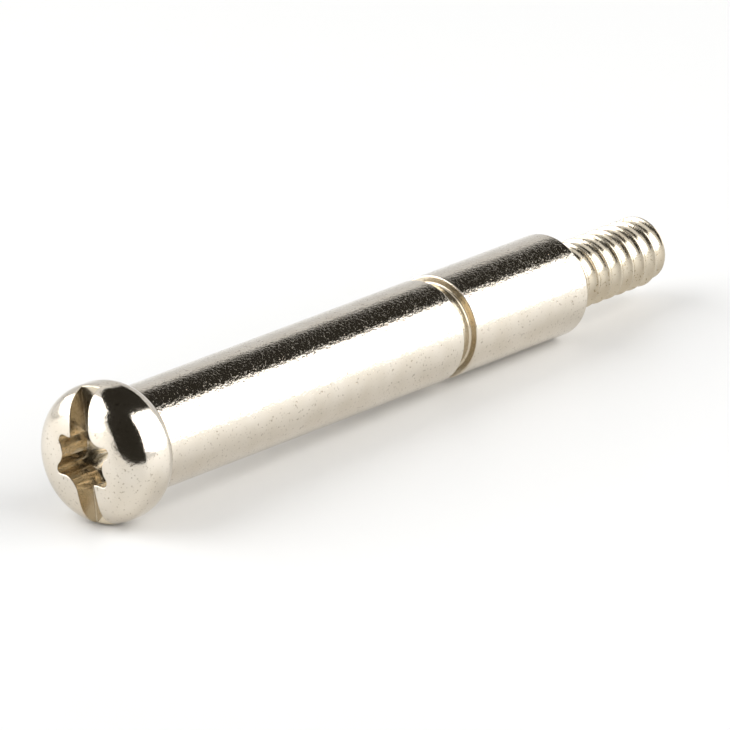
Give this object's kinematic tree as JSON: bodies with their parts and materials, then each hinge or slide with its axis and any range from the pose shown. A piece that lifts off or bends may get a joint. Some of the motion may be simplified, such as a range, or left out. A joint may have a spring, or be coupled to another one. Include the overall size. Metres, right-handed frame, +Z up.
{
  "type": "round head shoulder screw",
  "caption": "Round head shoulder screw with a slot and six-lobe drive, a long plain shank with a ring groove, and a thinner threaded end.",
  "frame": {"origin": "middle of the lying screw's footprint, on the surface that it rests on", "axes": "+X along the screw from its head towards its threaded end, +Z up"},
  "size_m": [0.0507, 0.0078, 0.0079],
  "materials": {
    "nickel_plate": "bright nickel plate over formed steel"
  },
  "bodies": {
    "root": {"screw": "nickel_plate"}
  },
  "joints": []
}
